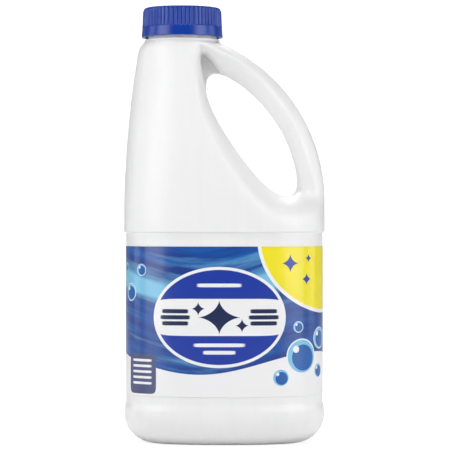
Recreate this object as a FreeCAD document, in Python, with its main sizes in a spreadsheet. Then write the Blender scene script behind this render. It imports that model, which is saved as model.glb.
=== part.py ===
import FreeCAD, Part
import math
import os

import Sketcher
from FreeCAD import Vector

# Laundry bottle of about 1.3 litres with a hollow side handle, a wrap label and a ribbed screw cap.
# Frame: origin under the middle of the body on the surface it stands on, +Z up, the handle on the +X
# side, and the mould's parting plane in XZ, so that the front face looks along -Y. All in millimetres.

DIMENSIONS = [
    ("BodyWidth", 122.2, "across the shoulder bead, side to side"),
    ("BodyDepth", 77.0, "front to back at the shoulder bead"),
    ("BodyPower", 2.5, "superellipse power of the body's outline"),
    ("WallThickness", 0.9, "moulded wall"),
    ("HeelRadius", 18.0, "rounding between side wall and base"),
    ("StandingRing", 3.0, "width of the flat ring that the bottle stands on"),
    ("PushUp", 4.5, "height of the recess under the base"),
    ("BaseInset", 0.3, "how far the base swell lies inside the bead"),
    ("PanelInset", 1.3, "how far the label panel lies inside the bead"),
    ("PanelBottom", 25.6, "height where the label panel begins"),
    ("PanelTop", 127.5, "height of the bead's lower edge"),
    ("PanelRun", 5.2, "height of the easy step under the label panel"),
    ("BeadRounding", 0.8, "rounding of the bead's lower edge"),
    ("ShoulderHeight", 134.0, "height where the body starts to narrow"),
    ("CollarHeight", 242.6, "height of the collar's underside"),
    ("CollarRadius", 23.0, "collar under the cap"),
    ("CollarThickness", 2.0, "height of the collar"),
    ("CollarStep", 0.3, "how far the shoulder's top stands out of the collar"),
    ("CollarSink", 0.4, "how far the shoulder's top rises over the collar's underside"),
    ("NeckOffset", -25.7, "neck axis from the middle of the body, along X"),
    ("NeckRadius", 20.8, "neck under the thread"),
    ("NeckHeight", 18.6, "from the collar's underside to the lip"),
    ("BoreRadius", 18.6, "mouth of the neck"),
    ("NeckFlare", 1.0, "how far the neck's foot flares out inside the shoulder"),
    ("BoreOverrun", 2.0, "how far the bore is cut past both ends of the neck"),
    ("LipRounding", 0.6, "rounding of the lip"),
    ("ShoulderRounding", 7.0, "rounding of the left shoulder under the collar"),
    ("HandleRootHeight", 146.9, "height where the handle's outer arc leaves the side"),
    ("HandleEnvelope", 20.0, "half depth of the form that the handle is pinched from"),
    ("HandleHalfDepth", 12.5, "half depth of the handle before its edges are rounded"),
    ("HandleRound", 8.0, "how far the handle's inner side rounds back"),
    ("HoleX", 17.4, "middle of the finger hole along X"),
    ("HoleHeight", 187.4, "height of the middle of the finger hole"),
    ("HoleLong", 43.8, "half length of the finger hole"),
    ("HoleShort", 14.7, "half width of the finger hole"),
    ("HoleLean", 34.5, "lean of the finger hole from the vertical, towards the neck, in degrees"),
    ("HoleSkew", 0.8, "how far the finger hole swells out of its ellipse, three times round it"),
    ("WebRise", 12.0, "how far the pinched web reaches above the finger hole"),
    ("WebLean", 5.3, "how far the web's tip lies towards the neck"),
    ("WebColumnSpread", 0.42, "spread of the web along the hole's edge on the column's side, in radians"),
    ("WebHandleSpread", 0.24, "spread of the web along the hole's edge on the handle's side, in radians"),
    ("WebHalfThickness", 0.9, "half the thickness of the pinched web"),
    ("CrestTop", 4.0, "from the hole's upper edge to the crest around it"),
    ("CrestFoot", 12.0, "from the hole's lower edge to the crest around it"),
    ("CrestSoftness", 9.0, "blend over the crest of the body"),
    ("HandleSoftness", 5.0, "blend over the front of the handle"),
    ("ThreadPitch", 4.23, "rise of the screw thread in one turn"),
    ("ThreadDepth", 1.2, "height of the neck's thread over the neck"),
    ("ThreadStart", 6.4, "start of the neck's thread above the collar's underside"),
    ("ThreadTurns", 1.5, "turns of the neck's thread"),
    ("ThreadRoot", 2.5, "width of the neck's thread at its root"),
    ("ThreadCrest", 0.9, "width of the neck's thread at its crest"),
    ("ThreadSink", 0.3, "how deep the root of a thread lies in its wall"),
    ("CapThreadTurns", 1.0, "turns of the cap's thread"),
    ("ThreadClearance", 0.2, "play between the two threads, along the axis and across it"),
    ("CapTopRadius", 23.8, "cap over its ribs at the top"),
    ("CapBandRadius", 24.3, "cap where the ribs end and the smooth band begins"),
    ("CapRimRadius", 24.8, "lower rim of the cap"),
    ("CapBand", 5.9, "height of the smooth band"),
    ("CapWall", 1.5, "top wall of the cap"),
    ("CapRounding", 1.2, "rounding of the cap's top edge"),
    ("CapGap", 1.5, "gap between the collar and the cap's rim"),
    ("CapLeadHeight", 2.0, "height of the lead-in cone at the cap's mouth"),
    ("CapLeadWidth", 0.6, "width of the lead-in cone at the cap's mouth"),
    ("RibCount", 62.0, "grip ribs around the cap"),
    ("RibRadius", 0.62, "rounding of one grip rib"),
    ("RibProud", 0.5, "how far a rib stands out of the cap's wall"),
    ("RibEnd", 1.5, "how far the ribs end below the cap's top"),
    ("RibSink", 0.4, "how far the ribs start inside the smooth band"),
    ("LinerThickness", 1.1, "foam sealing disc in the cap"),
    ("LinerPlay", 0.1, "gap between the sealing disc and the cap's top wall"),
    ("LinerClearance", 0.3, "gap between the sealing disc and the cap's skirt"),
    ("LabelBottom", 29.7, "height of the label's lower edge"),
    ("LabelHeight", 89.5, "height of the label"),
    ("LabelThickness", 0.2, "label film with its adhesive"),
    ("LabelClearance", 0.05, "gap between the panel and the label"),
]

OUTLINE_POINTS = 48

# The surface around the finger hole: its columns and rows of points, the steps of a finely traced
# profile, and the angle to each side of the hole's upper tip that the web spans.
RING_COLUMNS = 72
CREST_ROWS = 10
FLANK_ROWS = 18
TRACED_STEPS = 600
WEB_ANGLE = 0.95

# The same surface closes outside the part: above the collar and below the bead, where it is cut off.
CLOSING_START = 8.0
CLOSING_TOP = 24.0
CLOSING_BOTTOM = 36.0
CLOSING_FOOT = 20.0

# Share of the shoulder's rounding that is followed before the left edge meets the collar, and share
# of the flank's rounding after which the flank goes on as a straight slope.
BEND_SHARE = 0.78
FLANK_BREAK = 0.608

doc = FreeCAD.newDocument("LaundryBottle")


def make_sheet():
    """Return the spreadsheet that holds every driving dimension under its alias."""
    sheet = doc.addObject("Spreadsheet::Sheet", "Dimensions")
    for row, (alias, value, note) in enumerate(DIMENSIONS, start=1):
        sheet.set(f"A{row}", alias)
        sheet.set(f"B{row}", str(value))
        sheet.setAlias(f"B{row}", alias)
        sheet.set(f"C{row}", note)
    doc.recompute()
    return sheet


sheet = make_sheet()


def size(alias):
    """Return the value of one cell of the spreadsheet."""
    return float(sheet.get(alias))


def mix(first, second, share):
    return first + (second - first) * share


def ease(share):
    """Return an S-shaped share that starts and ends level."""
    share = max(0.0, min(1.0, share))
    return share * share * (3.0 - 2.0 * share)


def soft_min(first, second, blend):
    """Return the smaller of two depths, with the corner between them rounded over the blend."""
    near = max(blend - abs(first - second), 0.0) / blend
    return min(first, second) - near**3 * blend / 6.0


def bind(obj, **expressions):
    """Tie properties of an object to expressions over the spreadsheet."""
    for name, expression in expressions.items():
        obj.setExpression(name.replace("__", "."), expression)


def feature(name, shape):
    """Return a feature with a computed shape."""
    obj = doc.addObject("Part::Feature", name)
    obj.Shape = shape
    return obj


def boolean(kind, name, base, tool):
    """Return a Part::Cut or Part::Common of two objects, with its faces left as they come."""
    obj = doc.addObject(kind, name)
    obj.Base = base
    obj.Tool = tool
    obj.Refine = False
    return obj


def closed_curve(points):
    """Return a wire that runs smoothly through the points and back to the first."""
    curve = Part.BSplineCurve()
    curve.interpolate(Points=points, PeriodicFlag=True)
    return Part.Wire([curve.toShape()])


# The body below the bead: superellipses with a common power, each drawn in from the bead's outline.

def body_outline(inset, height):
    """Return the body's outline at a height, drawn in from the bead by the inset."""
    half_width = size("BodyWidth") / 2.0 - inset
    half_depth = size("BodyDepth") / 2.0 - inset
    power = 2.0 / size("BodyPower")
    points = []
    for step in range(OUTLINE_POINTS):
        angle = 2.0 * math.pi * step / OUTLINE_POINTS
        across, along = math.cos(angle), math.sin(angle)
        x = half_width * math.copysign(abs(across) ** power, across)
        y = half_depth * math.copysign(abs(along) ** power, along)
        points.append(Vector(x, y, height))
    return closed_curve(points)


def lower_body(inset):
    """Return the solid of the heel, the base swell and the label panel, drawn in by the inset."""
    heel = size("HeelRadius")
    radius = heel - inset
    stations = []
    for step in range(7):
        angle = math.radians(15.0 * step)
        height = heel - radius * math.cos(angle)
        stations.append((size("BaseInset") + heel - radius * math.sin(angle), height))
    swell_top = size("PanelBottom") - size("PanelRun")
    for step in (0.1, 0.4, 0.7, 1.0):
        height = mix(swell_top, size("PanelBottom"), step)
        drawn_in = mix(size("BaseInset"), size("PanelInset"), ease(step))
        stations.append((drawn_in + inset, height))
    top = size("PanelTop") + 4.0 * size("WallThickness")
    for step in (0.02, 0.05, 0.1, 0.3, 0.5, 0.7, 0.9, 1.0):
        height = mix(size("PanelBottom"), top, step)
        stations.append((size("PanelInset") + inset, height))
    return Part.makeLoft([body_outline(*station) for station in stations], True, False)


def base_recess(growth):
    """Return the solid that the push-up takes out of the base, grown by a wall."""
    ring = size("BaseInset") + size("HeelRadius") + size("StandingRing")
    rise = size("PushUp")
    stations = [(ring - 0.8 * growth, -rise)]
    for step in range(6):
        angle = math.radians(18.0 * step)
        drawn_in = ring + 2.0 * rise * (1.0 - math.cos(angle)) - 0.8 * growth
        stations.append((drawn_in, rise * math.sin(angle) + growth * math.sin(angle)))
    return Part.makeLoft([body_outline(*station) for station in stations], True, False)


# The body above the bead is one surface around the finger hole. Each half is a depth over the
# parting plane: the smaller of the outer form and of the flank that rises from the hole's edge.

class UpperForm:
    """Depths of the shoulder, neck column and handle over the parting plane."""

    def __init__(self):
        self.half_width = size("BodyWidth") / 2.0
        self.half_depth = size("BodyDepth") / 2.0
        self.shoulder = size("ShoulderHeight")
        self.collar = size("CollarHeight")
        self.collar_radius = size("CollarRadius") + size("CollarStep")
        self.neck_x = size("NeckOffset")
        self.rise = self.collar - self.shoulder
        self.bend = size("ShoulderRounding")
        self.hole_x = size("HoleX")
        self.hole_z = size("HoleHeight")
        self.hole_long = size("HoleLong")
        self.hole_short = size("HoleShort")
        self.lean = math.radians(size("HoleLean"))
        self.top = self.collar + CLOSING_TOP
        self.bottom = size("PanelTop") - CLOSING_BOTTOM
        # The handle's outer arc is upright at its root and ends at the collar's right edge.
        reach = self.half_width - (self.neck_x + self.collar_radius)
        climb = self.collar - size("HandleRootHeight")
        self.arc_radius = (reach**2 + climb**2) / (2.0 * reach)
        self.arc_x = self.half_width - self.arc_radius
        self.bend_reach = BEND_SHARE * self.bend
        self.bend_depth = self.bend - math.sqrt(self.bend**2 - self.bend_reach**2)

    def climbed(self, z):
        """Return the share of the way from the shoulder to the collar, from 0 to 1."""
        return max(0.0, min(1.0, (z - self.shoulder) / self.rise))

    def left(self, z):
        """Return the left edge: an easy parabola that rounds over under the collar."""
        lean = self.half_width + self.neck_x - self.collar_radius - self.bend_depth
        above = min(max(z - self.collar + self.bend_reach, 0.0), self.bend_reach)
        rounding = self.bend - math.sqrt(self.bend**2 - above**2)
        return -self.half_width + lean * self.climbed(z) ** 2 + rounding

    def right(self, z):
        """Return the right edge: upright, then the handle's outer arc."""
        above = max(0.0, min(z, self.collar) - size("HandleRootHeight"))
        return self.arc_x + math.sqrt(self.arc_radius**2 - above**2)

    def envelope(self, x, z):
        """Return the half depth of the outer form, or 0 outside it."""
        left, right = self.left(z), self.right(z)
        across = abs(x - (left + right) / 2.0) / ((right - left) / 2.0)
        if across >= 1.0:
            return 0.0
        climbed = self.climbed(z)
        column = mix(self.half_depth, self.collar_radius, climbed**2)
        slim = mix(size("HandleEnvelope"), self.collar_radius, ease((climbed - 0.6) / 0.4))
        handle = mix(column, slim, ease((z - self.shoulder) / 20.0))
        axis = self.hole_x - (z - self.hole_z) * math.tan(self.lean)
        depth = mix(column, handle, ease((x - axis + 15.0) / 30.0))
        power = mix(size("BodyPower"), 2.0, ease((climbed - 0.15) / 0.85))
        high = (z - self.collar - CLOSING_START) / (CLOSING_TOP - CLOSING_START)
        low = (self.bottom + CLOSING_FOOT - z) / CLOSING_FOOT
        closing = math.sqrt(1.0 - min(max(high, low, 0.0), 1.0) ** 2)
        return closing * depth * (1.0 - across**power) ** (1.0 / power)

    def inside(self, x, z):
        """Return whether a point of the parting plane lies in the outer form."""
        return self.bottom < z < self.top and self.left(z) < x < self.right(z)

    def hole_edge(self, angle):
        """Return a point of the finger hole's edge and its outward direction."""
        along = (-math.sin(self.lean), math.cos(self.lean))
        aside = (math.cos(self.lean), math.sin(self.lean))
        far, near = self.hole_long * math.cos(angle), self.hole_short * math.sin(angle)
        x = self.hole_x + along[0] * far + aside[0] * near
        z = self.hole_z + along[1] * far + aside[1] * near
        slope_far, slope_near = math.cos(angle) / self.hole_long, math.sin(angle) / self.hole_short
        out_x = along[0] * slope_far + aside[0] * slope_near
        out_z = along[1] * slope_far + aside[1] * slope_near
        length = math.hypot(out_x, out_z)
        out_x, out_z = out_x / length, out_z / length
        swell = -size("HoleSkew") * math.sin(3.0 * angle)
        return (x + out_x * swell, z + out_z * swell), (out_x, out_z)

    def pinch_edge(self, angle):
        """Return a point of the pinched edge: the hole's edge, drawn out to the web's tip."""
        (x, z), _ = self.hole_edge(angle)
        spread = size("WebColumnSpread") if angle < 0.0 else size("WebHandleSpread")
        pull = math.exp(-((angle / spread) ** 2))
        return x - size("WebLean") * pull, z + size("WebRise") * pull

    def outer_edge(self, angle):
        """Return where the line square to the hole's edge meets the form's edge."""
        (x, z), (out_x, out_z) = self.hole_edge(angle)
        near = 0.0
        while self.inside(x + out_x * (near + 2.0), z + out_z * (near + 2.0)):
            near += 2.0
        far = near + 2.0
        for _ in range(40):
            middle = (near + far) / 2.0
            if self.inside(x + out_x * middle, z + out_z * middle):
                near = middle
            else:
                far = middle
        return x + out_x * near, z + out_z * near

    def profile(self, angle):
        """Return the front half's profile from the pinched edge to the outer edge, evenly spaced."""
        start, end = self.pinch_edge(angle), self.outer_edge(angle)
        length = math.hypot(end[0] - start[0], end[1] - start[1])
        across = ((end[0] - start[0]) / length, (end[1] - start[1]) / length)
        _, outward = self.hole_edge(angle)
        square = across[0] * outward[0] + across[1] * outward[1]
        turned = max(0.0, min(1.0, (abs(angle) - 0.5) / (math.pi - 0.5)))
        grown = math.sin(turned * math.pi / 2.0)
        crest = mix(size("CrestTop"), size("CrestFoot"), grown)
        softness = size("CrestSoftness") * mix(0.5, 1.0, grown)
        side = math.sin(angle)
        if math.cos(angle) < 0.0:
            share = ease((side - 0.05) / 0.75)
        else:
            share = ease((side + 0.2) / 0.8)
        reach = min(crest, 0.6 * length)
        body = self.envelope(start[0] + across[0] * reach, start[1] + across[1] * reach)
        depth = mix(body, size("HandleHalfDepth"), share)
        round_back = mix(crest / 0.8, size("HandleRound"), share)
        blend = mix(softness, size("HandleSoftness"), share)
        points, crest_at = [], None
        for step in range(TRACED_STEPS + 1):
            run = length * (1.0 - math.cos(math.pi * step / TRACED_STEPS)) / 2.0
            x, z = start[0] + across[0] * run, start[1] + across[1] * run
            flank = self.flank(run * square, depth, round_back)
            outer = self.envelope(x, z) if step < TRACED_STEPS else 0.0
            if crest_at is None and flank >= outer:
                crest_at = step
            y = max(0.0, soft_min(flank, outer, blend)) if 0 < step < TRACED_STEPS else 0.0
            points.append((x, y, z))
        return respaced(points, crest_at)

    @staticmethod
    def flank(run, depth, round_back):
        """Return the flank's depth: an elliptic rise that goes on as a straight slope."""
        share = run / round_back
        if share < FLANK_BREAK:
            return depth * math.sqrt(1.0 - (1.0 - share) ** 2)
        height = math.sqrt(1.0 - (1.0 - FLANK_BREAK) ** 2)
        return depth * (height + (share - FLANK_BREAK) * (1.0 - FLANK_BREAK) / height)


def respaced(points, crest_at):
    """Return the profile's points spaced evenly by length before its crest and after it."""
    lengths = [0.0]
    for first, second in zip(points, points[1:]):
        lengths.append(lengths[-1] + math.dist(first, second))

    def at(distance):
        low, high = 0, len(points) - 1
        while high - low > 1:
            middle = (low + high) // 2
            if lengths[middle] <= distance:
                low = middle
            else:
                high = middle
        share = (distance - lengths[low]) / max(lengths[high] - lengths[low], 1e-12)
        return tuple(mix(a, b, share) for a, b in zip(points[low], points[high]))

    crest = lengths[crest_at]
    rest = lengths[-1] - crest
    before = [at(crest * row / CREST_ROWS) for row in range(CREST_ROWS)]
    after = [at(crest + rest * row / FLANK_ROWS) for row in range(FLANK_ROWS + 1)]
    return before + after


def ring_grid(form):
    """Return the closed grid of points around the hole, and over the front and the back."""
    grid = []
    for column in range(RING_COLUMNS):
        turn = -math.pi + 2.0 * math.pi * column / RING_COLUMNS
        front = form.profile(turn - 0.3 * math.sin(2.0 * turn))
        back = [(x, -y, z) for x, y, z in reversed(front[1:-1])]
        grid.append([Vector(*point) for point in front + back])
    return grid


def offset_grid(grid, distance):
    """Return the grid moved inwards, square to its surface."""
    columns, rows = len(grid), len(grid[0])
    moved = []
    for i in range(columns):
        line = []
        for j in range(rows):
            around = grid[(i + 1) % columns][j] - grid[i - 1][j]
            over = grid[i][(j + 1) % rows] - grid[i][j - 1]
            line.append(grid[i][j] + around.cross(over).normalize() * distance)
        moved.append(line)
    return moved


def ring_solid(grid):
    """Return the solid inside a smooth surface that closes both ways and follows the grid."""
    columns, rows = len(grid), len(grid[0])
    sharpened = [[p - (grid[i - 1][j] - p * 2.0 + grid[(i + 1) % columns][j]) / 6.0
                  for j, p in enumerate(line)] for i, line in enumerate(grid)]
    poles = [[p - (line[j - 1] - p * 2.0 + line[(j + 1) % rows]) / 6.0
              for j, p in enumerate(line)] for line in sharpened]
    surface = Part.BSplineSurface()
    surface.buildFromPolesMultsKnots(poles, [1] * (columns + 1), [1] * (rows + 1),
                                     list(range(columns + 1)), list(range(rows + 1)),
                                     True, True, 3, 3)
    solid = Part.Solid(Part.Shell([surface.toShape()]))
    return solid if solid.Volume > 0.0 else solid.reversed()


def pinched_web(form):
    """Return the flat web in the notch above the finger hole, down to the hole's edge."""
    half = size("WebHalfThickness")
    overlap = 0.8 * size("WallThickness")
    buried, free = [], []
    for step in range(17):
        angle = mix(-WEB_ANGLE, WEB_ANGLE, step / 16.0)
        x, z = form.pinch_edge(angle)
        (edge_x, edge_z), (out_x, out_z) = form.hole_edge(angle)
        buried.append(Vector(x + out_x * overlap, -half, z + out_z * overlap))
        free.append(Vector(edge_x, -half, edge_z))
    outer, inner = Part.BSplineCurve(), Part.BSplineCurve()
    outer.interpolate(Points=buried)
    inner.interpolate(Points=free)
    ends = [Part.LineSegment(buried[-1], free[-1]), Part.LineSegment(free[0], buried[0])]
    wire = Part.Wire([outer.toShape(), ends[0].toShape(), inner.toShape(), ends[1].toShape()])
    return Part.Face(wire).extrude(Vector(0, 2.0 * half, 0))


def trimming_box(name, bottom, top):
    """Return a box over the whole part between two heights given as expressions."""
    box = doc.addObject("Part::Box", name)
    bind(box, Length="2 * Dimensions.BodyWidth", Width="2 * Dimensions.BodyDepth",
         Height=f"({top}) - ({bottom})", Placement__Base__x="-Dimensions.BodyWidth",
         Placement__Base__y="-Dimensions.BodyDepth", Placement__Base__z=bottom)
    return box


# Turned pieces: profiles in the XZ plane whose points are bound to the spreadsheet.

def origin_plane(body, role):
    return next(item for item in body.Origin.OriginFeatures if item.Role == role)


def new_sketch(body, name, role):
    """Return an empty sketch on one of the body's origin planes."""
    sketch = body.newObject("Sketcher::SketchObject", name)
    sketch.AttachmentSupport = [(origin_plane(body, role), "")]
    sketch.MapMode = "FlatFace"
    return sketch


def draw_profile(sketch, corners):
    """Draw a closed outline of straight sides whose corners are pairs of expressions."""
    count = len(corners)
    rough = [Vector(20.0 + math.cos(2.0 * math.pi * i / count), math.sin(2.0 * math.pi * i / count), 0)
             for i in range(count)]
    for index in range(count):
        sketch.addGeometry(Part.LineSegment(rough[index], rough[(index + 1) % count]), False)
    for index in range(count):
        sketch.addConstraint(Sketcher.Constraint("Coincident", index, 2, (index + 1) % count, 1))
    for index, (across, height) in enumerate(corners):
        hold_corner(sketch, index, "DistanceX", -2, across)
        hold_corner(sketch, index, "DistanceY", -1, height)


def hold_corner(sketch, index, kind, axis, expression):
    """Hold a corner at a distance from the origin, or on the axis where the distance is nothing."""
    if expression == "0":
        sketch.addConstraint(Sketcher.Constraint("PointOnObject", index, 1, axis))
        return
    held = sketch.addConstraint(Sketcher.Constraint(kind, -1, 1, index, 1, 1.0))
    sketch.setExpression(f"Constraints[{held}]", expression)


def turned_body(name, corners):
    """Return a body turned about its own Z axis from a profile, and the feature that turns it."""
    body = doc.addObject("PartDesign::Body", name)
    sketch = new_sketch(body, f"{name}Profile", "XZ_Plane")
    draw_profile(sketch, corners)
    turned = body.newObject("PartDesign::Revolution", f"{name}Turned")
    turned.Profile = sketch
    turned.ReferenceAxis = (sketch, ["V_Axis"])
    turned.Angle = 360.0
    doc.recompute()
    return body, turned


def add_thread(body, name, corners, turns):
    """Wind a thread onto the body from a profile at its start."""
    sketch = new_sketch(body, f"{name}Profile", "XZ_Plane")
    draw_profile(sketch, corners)
    helix = body.newObject("PartDesign::AdditiveHelix", name)
    helix.Profile = sketch
    helix.ReferenceAxis = (sketch, ["V_Axis"])
    helix.Mode = 1
    helix.Pitch = size("ThreadPitch")
    helix.Turns = turns
    helix.LeftHanded = False
    helix.Reversed = False
    helix.Refine = False
    bind(helix, Pitch="Dimensions.ThreadPitch")
    doc.recompute()
    return helix


def edges_at(shape, height):
    """Return the names of the edges that lie level at a height."""
    return [f"Edge{i}" for i, edge in enumerate(shape.Edges, start=1)
            if abs(edge.BoundBox.ZMin - height) < 1e-4 and abs(edge.BoundBox.ZMax - height) < 1e-4]


def rounded_edges(name, base, height, radius):
    """Return a Part::Fillet of the object's edges that lie level at a height."""
    fillet = doc.addObject("Part::Fillet", name)
    fillet.Base = base
    fillet.Edges = [(int(edge[4:]), radius, radius) for edge in edges_at(base.Shape, height)]
    return fillet


def round_edges(body, name, base, height, wide, alias):
    """Round the level edges at a height that lie outside a radius."""
    names = [edge for edge in edges_at(base.Shape, height)
             if base.Shape.getElement(edge).BoundBox.XMax > wide]
    fillet = body.newObject("PartDesign::Fillet", name)
    fillet.Base = (base, names)
    bind(fillet, Radius=f"Dimensions.{alias}")
    doc.recompute()
    return fillet


def make_neck():
    """Return the collar, the neck and its thread, standing on the collar's underside."""
    bore, neck = "Dimensions.BoreRadius", "Dimensions.NeckRadius"
    lip = "Dimensions.NeckHeight"
    body, turned = turned_body("Neck", [
        (bore, "-Dimensions.WallThickness"),
        (f"{neck} + Dimensions.NeckFlare", "-Dimensions.WallThickness"),
        ("Dimensions.CollarRadius", "0"),
        ("Dimensions.CollarRadius", "Dimensions.CollarThickness"),
        (neck, "Dimensions.CollarThickness"),
        (neck, lip),
        (bore, lip),
    ])
    round_edges(body, "LipRound", turned, size("NeckHeight"), size("BoreRadius") + 0.5, "LipRounding")
    middle = "Dimensions.ThreadStart"
    proud = f"{neck} + Dimensions.ThreadDepth"
    buried = f"{neck} - Dimensions.ThreadSink"
    add_thread(body, "NeckThread", [
        (buried, f"{middle} - Dimensions.ThreadRoot / 2"),
        (proud, f"{middle} - Dimensions.ThreadCrest / 2"),
        (proud, f"{middle} + Dimensions.ThreadCrest / 2"),
        (buried, f"{middle} + Dimensions.ThreadRoot / 2"),
    ], size("ThreadTurns"))
    bind(body, Placement__Base__x="Dimensions.NeckOffset", Placement__Base__z="Dimensions.CollarHeight")
    return body


def make_bottle():
    """Return the moulded bottle: outer form with neck, less its inner form."""
    form = UpperForm()
    wall = size("WallThickness")
    grid = ring_grid(form)
    upper = feature("UpperForm", ring_solid(grid))
    upper_inner = feature("UpperHollow", ring_solid(offset_grid(grid, wall)))
    lower = feature("LowerForm", lower_body(0.0))
    lower_inner = feature("LowerHollow", lower_body(wall))
    recess = feature("BaseRecess", base_recess(0.0))
    recess_inner = feature("BaseRecessInner", base_recess(wall))
    web = feature("PinchedWeb", pinched_web(form))

    above_bead = trimming_box("AboveBead", "Dimensions.PanelTop",
                              "Dimensions.CollarHeight + Dimensions.CollarSink")
    shoulder = boolean("Part::Common", "Shoulder", upper, above_bead)
    doc.recompute()
    bead = rounded_edges("RoundedBead", shoulder, size("PanelTop"), size("BeadRounding"))
    neck = make_neck()
    outer = doc.addObject("Part::MultiFuse", "OuterForm")
    outer.Shapes = [bead, lower, web, neck]
    outer.Refine = False
    standing = boolean("Part::Cut", "StandingForm", outer, recess)

    in_bead = trimming_box("InsideBead", "Dimensions.PanelTop + Dimensions.WallThickness",
                           "Dimensions.CollarHeight - Dimensions.WallThickness / 2")
    hollow_top = boolean("Part::Common", "HollowShoulder", upper_inner, in_bead)
    hollow_base = boolean("Part::Cut", "HollowBase", lower_inner, recess_inner)
    bore = doc.addObject("Part::Cylinder", "Bore")
    bind(bore, Radius="Dimensions.BoreRadius",
         Height="Dimensions.NeckHeight + 2 * Dimensions.BoreOverrun",
         Placement__Base__x="Dimensions.NeckOffset",
         Placement__Base__z="Dimensions.CollarHeight - Dimensions.BoreOverrun")
    open_top = boolean("Part::Cut", "OpenShoulder", standing, hollow_top)
    open_base = boolean("Part::Cut", "OpenBody", open_top, hollow_base)
    bottle = boolean("Part::Cut", "Bottle", open_base, bore)
    bottle.Label = "bottle"
    return bottle


def cap_height():
    """Return the cap's height as an expression: from its rim, over the sealing disc, to its top."""
    return ("(Dimensions.NeckHeight - Dimensions.CollarThickness - Dimensions.CapGap"
            " + Dimensions.LinerThickness + Dimensions.LinerPlay + Dimensions.CapWall)")


def rib_section(body, name, outermost, height):
    """Return the round section of a rib that reaches out to a radius at a height."""
    sketch = new_sketch(body, name, "XY_Plane")
    sketch.addGeometry(Part.Circle(Vector(20, 0, 0), Vector(0, 0, 1), 1.0), False)
    radius = sketch.addConstraint(Sketcher.Constraint("Radius", 0, 1.0))
    sketch.addConstraint(Sketcher.Constraint("PointOnObject", 0, 3, -1))
    across = sketch.addConstraint(Sketcher.Constraint("DistanceX", -1, 1, 0, 3, 20.0))
    sketch.setExpression(f"Constraints[{radius}]", "Dimensions.RibRadius")
    sketch.setExpression(f"Constraints[{across}]", f"{outermost} - Dimensions.RibRadius")
    bind(sketch, AttachmentOffset__Base__z=height)
    return sketch


def add_ribs(body):
    """Add the grip ribs: one round rib that leans in with the wall, repeated around the cap."""
    top = f"{cap_height()} - Dimensions.RibEnd"
    low = rib_section(body, "RibFoot", "Dimensions.CapBandRadius",
                      "Dimensions.CapBand - Dimensions.RibSink")
    high = rib_section(body, "RibHead", "Dimensions.CapTopRadius", top)
    rib = body.newObject("PartDesign::AdditiveLoft", "Rib")
    rib.Profile = low
    rib.Sections = [high]
    rib.Refine = False
    doc.recompute()
    ribs = body.newObject("PartDesign::PolarPattern", "Ribs")
    ribs.Originals = [rib]
    ribs.Axis = (low, ["N_Axis"])
    ribs.Angle = 360.0
    ribs.Refine = False
    bind(ribs, Occurrences="Dimensions.RibCount")
    body.Tip = ribs
    doc.recompute()


def make_cap():
    """Return the ribbed screw cap with its inner thread, standing on its lower rim."""
    total = cap_height()
    inner = "Dimensions.NeckRadius + Dimensions.ThreadDepth + Dimensions.ThreadClearance"
    ceiling = f"{total} - Dimensions.CapWall"
    body, turned = turned_body("Cap", [
        ("0", ceiling),
        (inner, ceiling),
        (inner, "Dimensions.CapLeadHeight"),
        (f"{inner} + Dimensions.CapLeadWidth", "0"),
        ("Dimensions.CapRimRadius", "0"),
        ("Dimensions.CapBandRadius", "Dimensions.CapBand"),
        ("Dimensions.CapBandRadius - Dimensions.RibProud", "Dimensions.CapBand"),
        ("Dimensions.CapTopRadius - Dimensions.RibProud", total),
        ("0", total),
    ])
    top = turned.Shape.BoundBox.ZMax
    round_edges(body, "CapTopRound", turned, top, size("CapWall"), "CapRounding")
    add_ribs(body)
    # The cap's thread fills the groove between the turns of the neck's thread, with play all round.
    rim = "Dimensions.CollarThickness + Dimensions.CapGap"
    middle = f"(Dimensions.ThreadStart - ({rim}) + Dimensions.ThreadPitch / 2)"
    tooth = "(Dimensions.ThreadPitch - Dimensions.ThreadRoot - 2 * Dimensions.ThreadClearance)"
    buried = f"{inner} + Dimensions.ThreadSink"
    crest = "Dimensions.NeckRadius + Dimensions.ThreadClearance"
    add_thread(body, "CapThread", [
        (buried, f"{middle} - (Dimensions.ThreadPitch - Dimensions.ThreadCrest"
                 " - 2 * Dimensions.ThreadClearance) / 2"),
        (crest, f"{middle} - {tooth} / 2"),
        (crest, f"{middle} + {tooth} / 2"),
        (buried, f"{middle} + (Dimensions.ThreadPitch - Dimensions.ThreadCrest"
                 " - 2 * Dimensions.ThreadClearance) / 2"),
    ], size("CapThreadTurns"))
    bind(body, Placement__Base__x="Dimensions.NeckOffset",
         Placement__Base__z=f"Dimensions.CollarHeight + {rim}")
    body.Label = "cap"
    return body


def make_liner():
    """Return the foam sealing disc that lies on the lip, under the cap's top wall."""
    disc = doc.addObject("Part::Cylinder", "Liner")
    bind(disc, Radius="Dimensions.NeckRadius + Dimensions.ThreadDepth - Dimensions.LinerClearance",
         Height="Dimensions.LinerThickness", Placement__Base__x="Dimensions.NeckOffset",
         Placement__Base__z="Dimensions.CollarHeight + Dimensions.NeckHeight")
    disc.Label = "cap_liner"
    return disc


def make_label():
    """Return the wrap label as a closed film around the panel."""
    inside = size("PanelInset") - size("LabelClearance")
    outside = inside - size("LabelThickness")
    bottom, tall = size("LabelBottom"), Vector(0, 0, size("LabelHeight"))
    outer = feature("LabelOuter", Part.Face(body_outline(outside, bottom)).extrude(tall))
    inner = feature("LabelInner", Part.Face(body_outline(inside, bottom)).extrude(tall))
    label = boolean("Part::Cut", "Wrap", outer, inner)
    label.Label = "label"
    return label


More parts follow.
